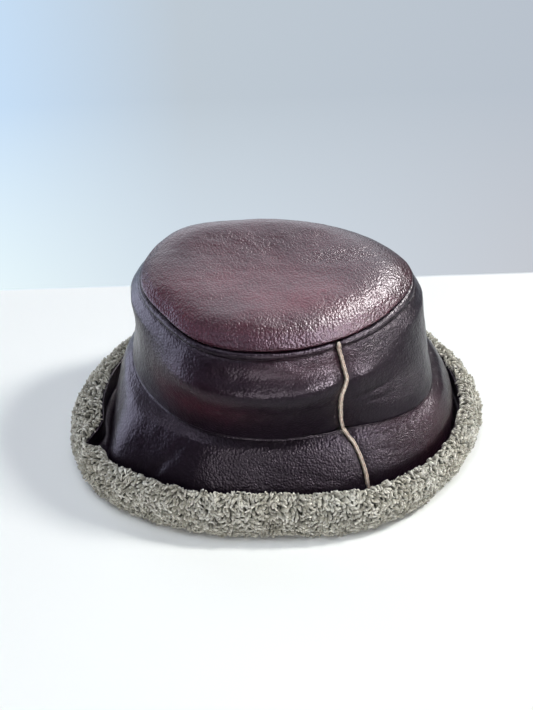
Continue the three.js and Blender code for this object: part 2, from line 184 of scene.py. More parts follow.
def brim_face(azimuth, s):
    seam_r, seam_z, brow = rings(azimuth, "seamR", "seamZ", "brow")
    brim_r, edge_r, edge_z = rings(azimuth, "brimR", "edgeR", "edgeZ")
    reach, drop = brim_r - seam_r, seam_z - FOLD_Z
    back = np.maximum(edge_r, brim_r + 3.5)
    knots = [0, 0.015, 0.035, 0.05, 0.08, 0.2, 0.42, 0.6, 0.7, 0.76, 0.81, 0.88, 1]
    radii = [
        seam_r - 2.8, seam_r - 2.0, seam_r - 0.6, seam_r - 0.2, seam_r + 0.9,
        seam_r + 0.28 * reach + 0.8 * brow, seam_r + 0.72 * reach + 0.7 * brow, brim_r,
        brim_r + 2.2, brim_r + 4.2, np.maximum(brim_r + 6.5, back + 1), np.maximum(brim_r + 7, back + 1.5),
        edge_r,
    ]
    heights = [
        seam_z - 0.5, seam_z + 0.25, seam_z + 0.15, seam_z - 0.9, seam_z - 1.5, seam_z - 0.18 * drop,
        seam_z - 0.62 * drop, FOLD_Z, 18, 13.5, 13.5, 17.5, edge_z,
    ]
    fading = np.clip((BRIM_VALLEY_TO - s) / VALLEY_FADE, 0, 1)
    grown = np.minimum(s / BRIM_VALLEY_FROM, fading)
    valley = BRIM_VALLEY * grown * bump(azimuth - brim_seam_azimuth(s), VALLEY_WIDTH)
    return through(knots, radii, s) - valley, through(knots, heights, s)


def cuff_wool_face(azimuth, s):
    """The wool from the turned-up edge round the outside of the fold to the floor."""
    brim_r, edge_r, edge_z, wool_r = rings(azimuth, "brimR", "edgeR", "edgeZ", "woolR")
    reach = wool_r - edge_r
    knots = [0, 0.15, 0.35, 0.6, 0.8, 0.92, 1]
    radii = [edge_r + LEATHER + WOOL_GAP + 0.5, edge_r + 0.38 * reach, edge_r + 0.8 * reach, wool_r,
             wool_r - 3.5, wool_r - 9, brim_r - 4]
    heights = [edge_z + 0.6, edge_z + 2.4, edge_z - 3.5, 15, 5, 1, 0]
    return through(knots, radii, s), through(knots, heights, s)


def inward(face, azimuth, s, depth):
    """A face moved in by depth, square to its own run down the piece."""
    step = 0.01
    (r0, z0), (r1, z1) = face(azimuth, np.maximum(s - step, 0)), face(azimuth, np.minimum(s + step, 1))
    length = np.hypot(r1 - r0, z1 - z0)
    r, z = face(azimuth, s)
    return r + (z1 - z0) / length * depth, z - (r1 - r0) / length * depth


def points_at(azimuth, r, z):
    turn = np.radians(azimuth)
    return np.stack(np.broadcast_arrays(AXIS[0] + r * np.cos(turn), AXIS[1] + r * np.sin(turn), z), -1)


LATTICE = 256  # cells after which the noise repeats, a power of two


def noise(points, seed):
    """Smooth gradient noise between about -1 and 1, one lattice cell per unit."""
    rng = np.random.default_rng(seed)
    wrap = LATTICE - 1
    gradients = rng.normal(size=(LATTICE, 3))
    gradients /= np.linalg.norm(gradients, axis=1, keepdims=True)
    order = rng.permutation(LATTICE)
    cell = np.floor(points).astype(int)
    local = points - cell
    ease = local ** 3 * (local * (local * 6 - 15) + 10)
    total = np.zeros(points.shape[:-1])
    for corner in product((0, 1), repeat=3):
        x, y, z = np.moveaxis((cell + corner) & wrap, -1, 0)
        gradient = gradients[order[(order[(order[x] + y) & wrap] + z) & wrap]]
        weight = np.where(corner, ease, 1 - ease).prod(-1)
        total += weight * (gradient * (local - corner)).sum(-1)
    return 1.7 * total


# Meshes

def make_mesh(name, points, quads=(), triangles=(), materials=(), cut_quads=()):
    """A mesh object in metres from points in millimetres. The quads that cut_quads lists are a raw edge,
    flat and in the second material."""
    quads = np.asarray(quads, int).reshape(-1, 4)
    triangles = np.asarray(triangles, int).reshape(-1, 3)
    corners = np.concatenate([quads.ravel(), triangles.ravel()])
    starts = np.concatenate([np.arange(len(quads)) * 4, quads.size + np.arange(len(triangles)) * 3])
    mesh = bpy.data.meshes.new(name)
    mesh.vertices.add(len(points))
    mesh.vertices.foreach_set("co", (np.asarray(points) * MM).astype(np.float32).ravel())
    mesh.loops.add(len(corners))
    mesh.loops.foreach_set("vertex_index", corners.astype(np.int32))
    mesh.polygons.add(len(starts))
    mesh.polygons.foreach_set("loop_start", starts.astype(np.int32))
    mesh.update(calc_edges=True)
    for material in materials:
        mesh.materials.append(material)
    cut = np.isin(np.arange(len(starts)), cut_quads)
    mesh.polygons.foreach_set("material_index", cut.astype(np.int32))
    mesh.polygons.foreach_set("use_smooth", ~cut)
    mesh.validate()
    made = bpy.data.objects.new(name, mesh)
    bpy.context.scene.collection.objects.link(made)
    return made


def give(made, name, values):
    """Stores one number for each vertex, for the material to read."""
    attribute = made.data.attributes.new(name, "FLOAT", "POINT")
    attribute.data.foreach_set("value", np.asarray(values, np.float32).ravel())


def loop_quads(columns, rows, joined, closed=True):
    """Quads between columns of points, each column a closed outline or an open run of rows."""
    here = np.arange(columns if joined else columns - 1)
    row = np.arange(rows if closed else rows - 1)
    a, i = here[:, None] * rows, row[None]
    b, k = (here[:, None] + 1) % columns * rows, (row[None] + 1) % rows
    return np.stack([a + i, a + k, b + k, b + i], -1).reshape(-1, 4)


def end_cap(outer, inner):
    """Triangles across a strip's end, between its outer rows and its inner ones, row by row."""
    shares = np.concatenate([outer, inner])
    i, j = 0, len(shares) - 1
    faces = []
    while i < len(outer) - 1 or j > len(outer):
        outside = j == len(outer) or (i < len(outer) - 1 and shares[i + 1] <= shares[j - 1])
        faces.append((i, j, i + 1) if outside else (i, j, j - 1))
        i, j = (i + 1, j) if outside else (i, j - 1)
    return np.array(faces)


def normals_of(points, joined):
    """Unit normals of a grid of points: columns anticlockwise, rows down or outwards."""
    if joined:
        around = np.roll(points, -1, 0) - np.roll(points, 1, 0)
    else:
        around = np.gradient(points, axis=0)
    normal = np.cross(np.gradient(points, axis=1), around)
    return normal / np.maximum(np.linalg.norm(normal, axis=-1, keepdims=True), 1e-9)


def closed_disc(over, under):
    """Points, quads and triangles of a round solid: columns run out over it and back in under it."""
    outline = np.concatenate([over[:, 1:], under[:, :-1]], 1)
    columns, rows = outline.shape[:2]
    centres = [over[:, 0].mean(0)[None], under[:, -1].mean(0)[None]]
    here = np.arange(columns)
    first, after = here * rows, (here + 1) % columns * rows
    upper = 0 * here + columns * rows
    fans = [np.stack([upper, first, after], -1),
            np.stack([first + rows - 1, upper + 1, after + rows - 1], -1)]
    points = np.concatenate([outline.reshape(-1, 3), *centres])
    return points, loop_quads(columns, rows, True, closed=False), np.concatenate(fans)


def spread(*stretches):
    """Shares from stretches of (start, end, count), without repeating where they meet."""
    runs = [np.linspace(start, end, count, endpoint=False) for start, end, count in stretches]
    return np.concatenate([*runs, [stretches[-1][1]]])


# How the leather departs from its smooth faces

# Each crease is a line of points in millimetres, with its depth and its width.
TOP_CREASES = [
    ([(-44, 36, 132), (-20, 40, 132), (6, 36, 131)], 0.25, 2.0),
    ([(30, 4, 129), (49, 14, 131), (68, 4, 131)], 0.25, 2.0),
]
BAND_CREASES = [
    ([(50, -92, 82), (58, -86, 84), (69, -78, 86)], 0.9, 2.2),
    ([(60, -86, 78), (78, -71, 76), (92, -56, 77)], 0.8, 2.4),
    ([(42, -80, 113), (52, -74, 109), (60, -71, 104)], 0.7, 1.8),
    ([(46, -79, 115), (58, -70, 111), (68, -62, 107)], 0.6, 1.6),
    ([(10, -94, 112), (20, -92, 108), (33, -86, 106)], 0.6, 2.0),
    ([(-70, -60, 94), (-40, -82, 93), (0, -96, 94)], 0.5, 3.5),
]
BRIM_CREASES = [
    ([(62, -100, 50), (78, -92, 44), (92, -84, 40)], 0.8, 2.4),
    ([(66, -93, 57), (84, -80, 54), (98, -62, 54)], 0.6, 2.0),
    ([(-20, -108, 46), (10, -112, 40), (36, -110, 34)], 0.6, 3.0),
    ([(-108, -40, 52), (-114, -46, 38), (-116, -52, 30)], 1.2, 3.0),
    ([(-60, -92, 54), (-72, -94, 42), (-80, -92, 30)], 0.8, 3.5),
]
WAVES = ((27, 0.55), (9, 0.2), (3.6, 0.07))  # length and height of the waves in the leather
UNDER_RELIEF = 0.9  # share of the waves that its inner face has


def crease_depth(points, creases):
    total = np.zeros(points.shape[:-1])
    for line, depth, width in creases:
        line = np.array(line, float)
        nearest = np.full(points.shape[:-1], 1e9)
        for start, end in zip(line, line[1:]):
            along = end - start
            t = np.clip(((points - start) @ along) / (along @ along), 0, 1)
            nearest = np.minimum(nearest, np.linalg.norm(points - start - t[..., None] * along, axis=-1))
        total += depth * np.exp(-((nearest / width) ** 2))
    return total


def relief(points, creases, seed, size=1.0):
    """How far the leather stands out of its smooth face, in millimetres."""
    waves = sum(height * noise(points / length, seed + k) for k, (length, height) in enumerate(WAVES))
    return size * waves - crease_depth(points, creases)


def disc_shell(name, face, columns, outer, inner, creases, seed, material):
    """A closed round shell of leather."""
    azimuth = np.arange(columns)[:, None] * 360 / columns
    over = points_at(azimuth, *face(azimuth, outer[None]))
    over[..., 2] += relief(over, creases, seed)
    under = points_at(azimuth, *inward(face, azimuth, inner[None], LEATHER))
    under[..., 2] += relief(under, creases, seed, UNDER_RELIEF)
    return make_mesh(name, *closed_disc(over, under), [material])


def strip_shell(name, face, azimuth_at, turns, outer, inner, creases, seed, materials, extra):
    """A closed strip of leather that runs round from one side of the seam to the other. Its upper end is
    a raw edge, and extra is added to the relief of its outer face."""
    turn = turns[:, None]
    azimuth = azimuth_at(turn, outer[None])
    over = points_at(azimuth, *face(azimuth, outer[None]))
    out = relief(over, creases, seed) + extra(azimuth, outer[None], over)
    over = over + normals_of(over, False) * out[..., None]
    under_azimuth = azimuth_at(turn, inner[None])
    under = points_at(under_azimuth, *inward(face, under_azimuth, inner[None], LEATHER))
    under = under - normals_of(under, False) * relief(under, creases, seed, UNDER_RELIEF)[..., None]
    outline = np.concatenate([over, under], 1)
    rows = outline.shape[1]
    quads = loop_quads(len(turns), rows, False)
    edge = quads[:, 0] % rows == rows - 1
    cap = end_cap(outer, inner)
    triangles = np.concatenate([cap, cap[:, ::-1] + (len(turns) - 1) * rows])
    return make_mesh(name, outline.reshape(-1, 3), quads, triangles, materials, cut_quads=np.where(edge)[0])


def band_azimuth(turn, s):
    room = np.degrees(SEAM_ROOM / 2 / ring("topR", SEAM_AZIMUTH))
    return band_seam_azimuth(s) + room + turn * (1 - room / 180)


def brim_azimuth(turn, s):
    sideways = np.where(s <= SEAM_CLOSES, SEAM_ROOM / 2, GAP / 2)
    room = np.degrees(sideways / ring("seamR", SEAM_AZIMUTH))
    return brim_seam_azimuth(s) + room + turn * (1 - room / 180)


def rolled_edge(seam_azimuth, fades):
    """Beside the seam the leather rolls in, as far down as the share fades."""
    def extra(azimuth, s, points):
        radius = np.hypot(points[..., 0] - AXIS[0], points[..., 1] - AXIS[1])
        off = np.radians((azimuth - seam_azimuth(s) + 180) % 360 - 180) * radius
        return -ROLL * np.exp(-((off / ROLL_WIDTH) ** 2)) * np.clip((fades - s) / ROLL_FADE, 0, 1)
    return extra


# Across a seam's two raw edges: a share of half its width, and how far they stand out there
SEAM_PROFILE = np.array([
    (-1, -1.4), (-1, 0.75), (-0.82, 1.3), (-0.5, 1.6), (-0.16, 1.25), (0, 0.55),
    (0.16, 1.15), (0.5, 1.45), (0.82, 1.2), (1, 0.65), (1, -1.4),
])
SEAM_WOBBLE = 0.22  # how far it strays sideways
SEAM_WAVES = 26  # noise cells of that down the seam
SEAM_FRAY = 0.16  # share by which its height varies
SEAM_TUFTS = 60  # noise cells of that down the seam
TUFT_WIDTH = 1.3  # noise cells of that in a millimetre across it
SEAM_CLEFT = 0.35  # half the width of the dark line between its two layers


def raw_seam(name, face, seam_azimuth, shares, seed, material):
    """The raw edges of two layers of leather, side by side, that stand out of the seam."""
    across, proud = SEAM_PROFILE.T
    across = across * (SEAM_WIDTH / 2)
    s = shares[:, None]
    middle = seam_azimuth(s)
    radius, _ = face(middle, s)
    wobble = noise(np.stack(np.broadcast_arrays(s * SEAM_WAVES, 0.0, 0.5), -1), seed)
    azimuth = middle + np.degrees((across + SEAM_WOBBLE * wobble) / radius)
    tufts = np.broadcast_arrays(s * SEAM_TUFTS, across * TUFT_WIDTH, 0.3)
    fray = noise(np.stack(tufts, -1), seed + 1)
    out = np.where(proud > 0, proud * (1 + SEAM_FRAY * fray), proud)
    points = points_at(azimuth, *inward(face, azimuth, s + 0 * across, -out))
    rows = len(across)
    quads = loop_quads(len(shares), rows, False)
    fan = np.array([(0, k + 1, k) for k in range(1, rows - 1)])
    triangles = np.concatenate([fan, fan[:, ::-1] + (len(shares) - 1) * rows])
    made = make_mesh(name, points.reshape(-1, 3), quads, triangles, [material])
    give(made, "middle", np.exp(-((across / SEAM_CLEFT) ** 2))[None] + 0 * s)
    return made


# Wool

CURL_SPACING = 2.05  # between the curls of the turned-up edge
CURL_SIZE = 2.8
CURL_GIRTH = (0.24, 0.40)  # their least and greatest radius, as shares of their size
CURL_SINK = 2.2  # how deep they are rooted
FRINGE_SPACING = 1.4  # the fringe stands along the leather's edge and leans over it
FRINGE_GIRTH = (0.24, 0.42)
FRINGE_RISE = 0.85
INNER_SPACING = 2.9  # between the curls inside and under the hat
INNER_SIZE = 2.6
CURL_SIDES = 4
CURL_BEND = 1.3  # how far a curl may stray sideways
CURL_LENGTH = (1.35, 2.4)  # least and greatest, in its sizes
CLUMP = 8  # noise cell of the clumps that curls stand and lean in
FRIZZ = 0.16  # how far a curl's points are strewn
FRIZZ_SIZE = 1.1  # noise cell of that
BACKING_SHADE = 0.12  # painted shade: dark, as it lies in the shade between the curls
BACKING_BUMPS = 0.35  # height of the bumps in the backing
BACKING_BUMP_SIZE = 2.6  # noise cell of those
BACKING_SEED = 5
FLOOR_CLEARANCE = 0.3
CROWN_WOOL_FROM = 0.05  # share below the top seam where the side's wool starts


def band_back(azimuth, s):
    """The inside of the side's leather, without its ridges."""
    top_r, top_z, seam_r, seam_z = rings(azimuth, "topR", "topZ", "seamR", "seamZ")
    puff, waist, belly = rings(azimuth, "puff", "waist", "belly")
    out = [-1.2, 0.1, puff, waist + 2, belly + 1.5, 0.35 * belly + 0.6, -1.2]
    swell = through([0, 0.09, 0.2, 0.36, 0.62, 0.86, 1], out, s)
    r = top_r + (seam_r - top_r) * s + swell - band_valley(azimuth, s) - LEATHER
    return r, top_z + (seam_z - top_z) * s


def crown_wool_share(s):
    return CROWN_WOOL_FROM + (1 - CROWN_WOOL_FROM) * s


def crown_wool_face(azimuth, s):
    r, z = band_back(azimuth, crown_wool_share(s))
    return r - WOOL_GAP - BAND_WOOL, z


def brim_wool_face(azimuth, s):
    """The wool under the brim, from the band's seam out to where it meets the floor."""
    share = 0.06 + 0.54 * np.minimum(s / 0.85, 1)
    r, z = brim_face(azimuth, share)
    reach = np.clip((s - 0.85) / 0.15, 0, 1)
    low = ring("brimR", azimuth) - 11.5
    r = r - LEATHER - WOOL_GAP - BRIM_WOOL
    return r + (low - r) * reach, z + (5 - z) * reach


def top_wool_face(azimuth, s):
    """The wool under the top, from its middle out."""
    rim = ring("topR", azimuth) - LEATHER - BAND_WOOL - WOOL_GAP
    share = 0.97 * s * rim / ring("topR", azimuth)
    _, z = top_face(azimuth, share)
    return rim * s, z - LEATHER * 1.15 - WOOL_GAP - BAND_WOOL


def even_scatter(face, start, end, spacing, rng):
    """Azimuths and shares spread evenly over a face between two shares."""
    azimuth = np.arange(0, 360, 3.0)[:, None]
    s = np.linspace(start, end, 80)
    r, z = face(azimuth, s[None])
    run = np.concatenate([[0], np.cumsum(np.hypot(np.diff(r), np.diff(z)).mean(0))])
    rows = max(int(run[-1] / spacing), 1)
    found = []
    for row in range(rows):
        share = np.interp((row + 0.5) / rows * run[-1], run, s)
        count = max(int(2 * np.pi * np.interp(share, s, r.mean(0)) / spacing), 3)
        turn = (np.arange(count) + 0.5 * (row % 2) + rng.uniform(-0.4, 0.4, count)) * 360 / count
        off = rng.uniform(-0.45, 0.45, count) * (end - start) / rows
        found.append(np.stack([turn, np.clip(share + off, start, end)]))
    return np.concatenate(found, 1)


def frame_at(face, azimuth, s):
    """Points on a face, with the directions down it, round it and out of it."""
    step = 0.01
    here = points_at(azimuth, *face(azimuth, s))
    above, below = np.maximum(s - step, 0), np.minimum(s + step, 1)
    down = points_at(azimuth, *face(azimuth, below)) - points_at(azimuth, *face(azimuth, above))
    around = points_at(azimuth + 1, *face(azimuth + 1, s)) - points_at(azimuth - 1, *face(azimuth - 1, s))
    down /= np.linalg.norm(down, axis=-1, keepdims=True)
    out = np.cross(down, around)
    out /= np.linalg.norm(out, axis=-1, keepdims=True)
    return here, down, np.cross(out, down), out


# A curl's stations from root to tip: along its length, up, sideways and its thickness
CURL = np.array([
    (-0.34, -0.45, 0.0, 0.0),
    (-0.26, 0.1, 0.1, 0.8),
    (0.08, 0.92, 0.75, 1.0),
    (0.42, 0.78, 0.1, 0.78),
    (0.58, 0.42, -0.45, 0.0),
])
SHORT_CURL = np.array([
    (-0.3, -0.4, 0.0, 0.0),
    (-0.1, 0.5, 0.4, 1.0),
    (0.32, 0.8, 0.3, 0.8),
    (0.52, 0.5, -0.3, 0.0),
])


def curls(here, forward, out, rng, stations, length, height, thickness):
    """Points, quads, triangles and a shade and tone for each point of small closed curls: painted shade dark
    at the root, painted light pale at the tip, and a random tone for each curl.
    """
    count = len(here)
    side = np.cross(out, forward)
    bend = rng.uniform(-CURL_BEND, CURL_BEND, count)
    along, up, over, thick = stations.T
    centres = (here[:, None] + forward[:, None] * (along[:, None] * length[:, None, None])
               + out[:, None] * (up[:, None] * height[:, None, None])
               + side[:, None] * (over[:, None] * bend[:, None, None]))
    tangent = np.gradient(centres, axis=1)
    tangent /= np.linalg.norm(tangent, axis=-1, keepdims=True)
    first = side[:, None] - (side[:, None] * tangent).sum(-1, keepdims=True) * tangent
    first /= np.linalg.norm(first, axis=-1, keepdims=True)
    second = np.cross(tangent, first)
    k = np.arange(CURL_SIDES)
    angle = k * 2 * np.pi / CURL_SIDES
    uneven = rng.uniform(0.78, 1.2, (count, 1, CURL_SIDES))
    radius = thick[None, :, None] * thickness[:, None, None] * uneven
    between = slice(1, -1)
    loops = (centres[:, between, None]
             + (radius * np.cos(angle))[:, between, :, None] * first[:, between, None]
             + (radius * np.sin(angle))[:, between, :, None] * second[:, between, None])
    points = np.concatenate([centres[:, :1], loops.reshape(count, -1, 3), centres[:, -1:]], 1)
    total = points.shape[1]
    after = (k + 1) % CURL_SIDES
    starts = 1 + np.arange(len(stations) - 2) * CURL_SIDES
    body = [np.stack([start + k, start + after, end + after, end + k], -1)
            for start, end in zip(starts, starts[1:])]
    last = starts[-1]
    ends = [np.stack([0 * k, 1 + after, 1 + k], -1),
            np.stack([0 * k + total - 1, last + k, last + after], -1)]
    base = np.arange(count)[:, None, None] * total
    # Painted shade and light: each curl runs from dark at its root, where shade falls between the curls, to
    # pale at its tip, where light falls.
    level = np.concatenate([[0], np.repeat(np.linspace(0.25, 1, len(stations) - 2), CURL_SIDES), [1]])
    shade_and_tone = level[None] * rng.uniform(0.6, 1.0, (count, 1))
    return (points.reshape(-1, 3), (np.concatenate(body)[None] + base).reshape(-1, 4),
            (np.concatenate(ends)[None] + base).reshape(-1, 3), shade_and_tone.ravel())


def curl_field(face, start, end, spacing, seed, stations, size, sink=0.0, facing=1, keep=None,
               turned=0.0, girth=(0.26, 0.44), rise=1.0):
    """Curls all over a face. They lean down it, this way and that, and stand in loose clumps. facing is
    -1 where they grow from the face's back, keep picks azimuths, and turned makes them lean another way."""
    rng = np.random.default_rng(seed)
    azimuth, s = even_scatter(face, start, end, spacing, rng)
    if keep is not None:
        kept = keep(azimuth)
        azimuth, s = azimuth[kept], s[kept]
    here, down, around, out = frame_at(face, azimuth, s)
    out = out * facing
    here = here - out * sink
    clump = noise(here / CLUMP, seed)
    lean = turned + 2.0 * noise(here / CLUMP, seed + 1) + rng.normal(0, 0.5, len(here))
    forward = np.cos(lean)[:, None] * down + np.sin(lean)[:, None] * around
    length = size * rng.uniform(*CURL_LENGTH, len(here))
    height = sink + rise * size * (0.72 + 0.7 * clump + rng.uniform(-0.35, 0.4, len(here)))
    thickness = size * rng.uniform(*girth, len(here))
    points, quads, triangles, shade_and_tone = curls(here, forward, out, rng, stations, length, height, thickness)
    points = points + FRIZZ * np.stack([noise(points / FRIZZ_SIZE, seed + 2 + k) for k in range(3)], -1)
    points[:, 2] = np.maximum(points[:, 2], FLOOR_CLEARANCE)
    return points, quads, triangles, shade_and_tone * (0.9 + 0.12 * np.repeat(clump, len(points) // len(here)))


def wool_piece(name, parts, material):
    """One mesh from several parts, each with its points, quads, triangles and painted shades and tones."""
    points, quads, triangles, shades_and_tones = zip(*parts)
    offsets = np.cumsum([0, *map(len, points)])
    quads = [np.asarray(part, int).reshape(-1, 4) + offset for part, offset in zip(quads, offsets)]
    triangles = [np.asarray(part, int).reshape(-1, 3) + offset for part, offset in zip(triangles, offsets)]
    made = make_mesh(name, *map(np.concatenate, (points, quads, triangles)), [material])
    give(made, "shade_and_tone", np.concatenate(shades_and_tones))
    return made


def backing(columns, outline):
    """A closed ring of felted wool under the curls. outline gives radii and heights for the azimuths."""
    azimuth = np.arange(columns)[:, None] * 360 / columns
    r, z = outline(azimuth)
    points = points_at(azimuth, r, z)
    bumps = noise(points / BACKING_BUMP_SIZE, BACKING_SEED)[..., None]
    points = points + BACKING_BUMPS * normals_of(points, True) * bumps
    points[..., 2] = np.maximum(points[..., 2], FLOOR_CLEARANCE)
    quads = loop_quads(columns, points.shape[1], True)
    flat = points.reshape(-1, 3)
    # Painted shade: the backing is dark all over, as it lies in shade.
    return flat, quads, [], np.full(len(flat), BACKING_SHADE)


def joined_rows(*runs):
    """Radii and heights side by side, one run of rows after another."""
    radii, heights = zip(*(np.broadcast_arrays(r, z) for r, z in runs))
    return np.concatenate(radii, 1), np.concatenate(heights, 1)


def brim_wool_outline(azimuth):
    """Down the outside of the fold, back in under the brim, and out again along the leather."""
    s = np.linspace(0, 0.92, 24)[None]
    sunk = CURL_SINK * np.clip(s / 0.12, 0.1, 1) * np.clip((0.98 - s) / 0.1, 0, 1)
    cuff = inward(cuff_wool_face, azimuth, s, sunk)
    under = brim_wool_face(azimuth, np.linspace(1, 0, 14)[None])
    back_shares = np.array([0, 0.12, 0.34, 0.6, 0.72, 0.78, 0.83, 0.9, 1])[None]
    back = inward(brim_face, azimuth, back_shares, LEATHER + WOOL_GAP)
    return joined_rows(cuff, under, back)


def band_wool_outline(azimuth):
    """Down along the leather and back up the inside."""
    shares = np.linspace(0, 1, 14)[None]
    r, z = band_back(azimuth, crown_wool_share(shares))
    inside_r, inside_z = crown_wool_face(azimuth, shares[:, ::-1])
    return joined_rows((r - WOOL_GAP, z), (inside_r + 1.0, inside_z))


def top_wool_backing(columns):
    """A closed disc of felted wool behind the curls under the top."""
    azimuth = np.arange(columns)[:, None] * 360 / columns
    r, z = top_wool_face(azimuth, np.linspace(0, 1, 16)[None])
    upper = points_at(azimuth, r, z + BAND_WOOL)
    lower = points_at(azimuth, r, z + 1.0)[:, ::-1]
    points, quads, triangles = closed_disc(upper, lower)
    # Painted shade: the backing is dark all over, as it lies in shade.
    return points, quads, triangles, np.full(len(points), BACKING_SHADE)


# Nodes and helpers

class Nodes:
    """Adds shader nodes: inputs by name are numbers, colours or other nodes' outputs."""

    def __init__(self, tree):
        tree.nodes.clear()
        self.tree = tree

    def add(self, kind, inputs=None, out=0, **settings):
        node = self.tree.nodes.new("ShaderNode" + kind)
        for key, value in settings.items():
            setattr(node, key, value)
        for key, value in (inputs or {}).items():
            self.put(value, node.inputs[key])
        return node.outputs[out] if node.outputs else node

    def put(self, value, socket):
        if isinstance(value, bpy.types.NodeSocket):
            self.tree.links.new(value, socket)
        else:
            socket.default_value = value

    def maths(self, operation, *values, clamp=False):
        return self.add("Math", dict(enumerate(values)), operation=operation, use_clamp=clamp)

    def mix(self, factor, a, b, kind="MIX"):
        made = self.tree.nodes.new("ShaderNodeMix")
        made.data_type, made.blend_type = "RGBA", kind
        for socket, value in ((0, factor), (6, a), (7, b)):
            self.put(value, made.inputs[socket])
        return made.outputs[2]

    def ramp(self, factor, *stops):
        """A colour ramp: each stop is a place and a colour or a grey."""
        made = self.tree.nodes.new("ShaderNodeValToRGB")
        self.tree.links.new(factor, made.inputs[0])
        elements = made.color_ramp.elements
        while len(elements) < len(stops):
            elements.new(1.0)
        for element, (place, colour) in zip(elements, stops):
            element.position = place
            element.color = colour if np.ndim(colour) else (colour, colour, colour, 1)
        return made.outputs[0]

    def split(self, vector):
        """The vector's x, y and z."""
        made = self.tree.nodes.new("ShaderNodeSeparateXYZ")
        self.put(vector, made.inputs[0])
        return made.outputs

    def attribute(self, name):
        """A number that the mesh stores at each vertex."""
        return self.add("Attribute", {}, out="Fac", attribute_name=name)

    def noise(self, vector, scale, detail=2.0, roughness=0.5):
        return self.add("TexNoise", {"Vector": vector, "Scale": scale, "Detail": detail,
                                     "Roughness": roughness})


def new_material(name):
    material = bpy.data.materials.new(name)
    material.use_nodes = True
    return material, Nodes(material.node_tree)


def rgb(r, g, b):
    return (r, g, b, 1.0)


# Sizes of the patterns are noise cells in a metre, depths are metres.
LEATHER_DARK = rgb(0.007, 0.005, 0.010)
LEATHER_RED = rgb(0.125, 0.016, 0.030)
LEATHER_DEPTH = 0.0006
DRAWN_OUT = (1.0, 0.62, 1.0)  # the pebbles are longer from front to back
PEBBLE_SCALE = 700.0
WARP_SCALE = 420.0  # of the noise that pushes them about, by WARP
WARP = 0.0005
PORE_SCALE = 2000.0
SOFT_SCALE = 260.0
BLOTCH_SCALE = 24.0
CRINKLE_SCALE = (230.0, 230.0, 620.0)  # crinkles run round the hat more than down it
CRINKLE_HEIGHT = 5.0
CUT_SHADES = rgb(0.82, 0.60, 0.47), rgb(1.0, 0.90, 0.76)
CUT_CLEFT = rgb(0.16, 0.07, 0.06)
CUT_SPECKLE = rgb(0.05, 0.03, 0.03)
CUT_DEPTH = 0.0004
# Painted shade at the curls' roots and painted light at their tips, with WOOL_MIDDLE between them.
WOOL_ROOT_SHADE = rgb(0.06, 0.055, 0.04)
WOOL_MIDDLE = rgb(0.46, 0.44, 0.37)
WOOL_LIT_TIP = rgb(1.0, 0.97, 0.90)
WOOL_PATCH = rgb(0.86, 0.84, 0.80)
WOOL_DEPTH = 0.0003
WHITE = rgb(1, 1, 1)


def leather_material():
    """Attributes from the mesh set how pebbled, how crinkled and how red the leather is at each place. The
    red is partly painted shade, and the pebbles carry painted shade in their valleys and painted light on
    their domes.
    """
    material, n = new_material("leather")
    place = n.add("TexCoord", out="Object")
    grain, crinkle, red = (n.attribute(name) for name in ("grain", "crinkle", "red"))
    drawn_out = n.add("Mapping", {"Vector": place, "Scale": DRAWN_OUT})
    warp = n.add("TexNoise", {"Vector": drawn_out, "Scale": WARP_SCALE, "Detail": 1.0}, out="Color")
    warp = n.add("VectorMath", {0: warp, "Scale": WARP}, operation="SCALE")
    warped = n.add("VectorMath", {0: drawn_out, 1: warp}, operation="ADD")
    pebble = n.add("TexVoronoi", {"Vector": warped, "Scale": PEBBLE_SCALE, "Smoothness": 0.25},
                   feature="SMOOTH_F1")
    pores = n.noise(drawn_out, PORE_SCALE)
    soft = n.noise(drawn_out, SOFT_SCALE)
    stretched = n.add("Mapping", {"Vector": place, "Scale": CRINKLE_SCALE})
    lines = n.add("TexNoise", {"Vector": stretched, "Scale": 1.0, "Detail": 3.0, "Roughness": 0.6,
                               "Distortion": 0.6})
    ridges = n.maths("ABSOLUTE", n.maths("SUBTRACT", lines, 0.5))
    height = n.maths("MULTIPLY_ADD", pores, 0.35, n.maths("MULTIPLY", pebble, -1.0))
    height = n.maths("MULTIPLY", n.maths("MULTIPLY_ADD", soft, 0.3, height), grain)
    height = n.maths("MULTIPLY_ADD", n.maths("MULTIPLY", ridges, crinkle), CRINKLE_HEIGHT, height)
    bump_node = n.add("Bump", {"Strength": 1.0, "Distance": LEATHER_DEPTH, "Height": height})
    blotch = n.noise(place, BLOTCH_SCALE, 3.0)
    # Painted shade: the red, far lower on the band and brim than on the top, darkens the faces that lie in
    # shade, as well as giving the leather its own blotches.
    redness = n.maths("MULTIPLY", red, n.ramp(blotch, (0.3, 0.45), (0.7, 1.0)))
    colour = n.mix(redness, LEATHER_DARK, LEATHER_RED)
    # Painted shade and light on the pebbles: darker in the valleys between them, where shade falls, and
    # lighter on their domes.
    pebble_shade = n.ramp(pebble, (0.1, 1.12), (0.75, 0.7))
    colour = n.mix(1.0, colour, pebble_shade, "MULTIPLY")
    surface = n.add("BsdfPrincipled", {
        "Base Color": colour, "Roughness": 0.3, "Normal": bump_node, "IOR": 1.31,
        "Specular Tint": rgb(0.96, 0.85, 0.94),
    })
    n.add("OutputMaterial", {"Surface": surface})
    return material


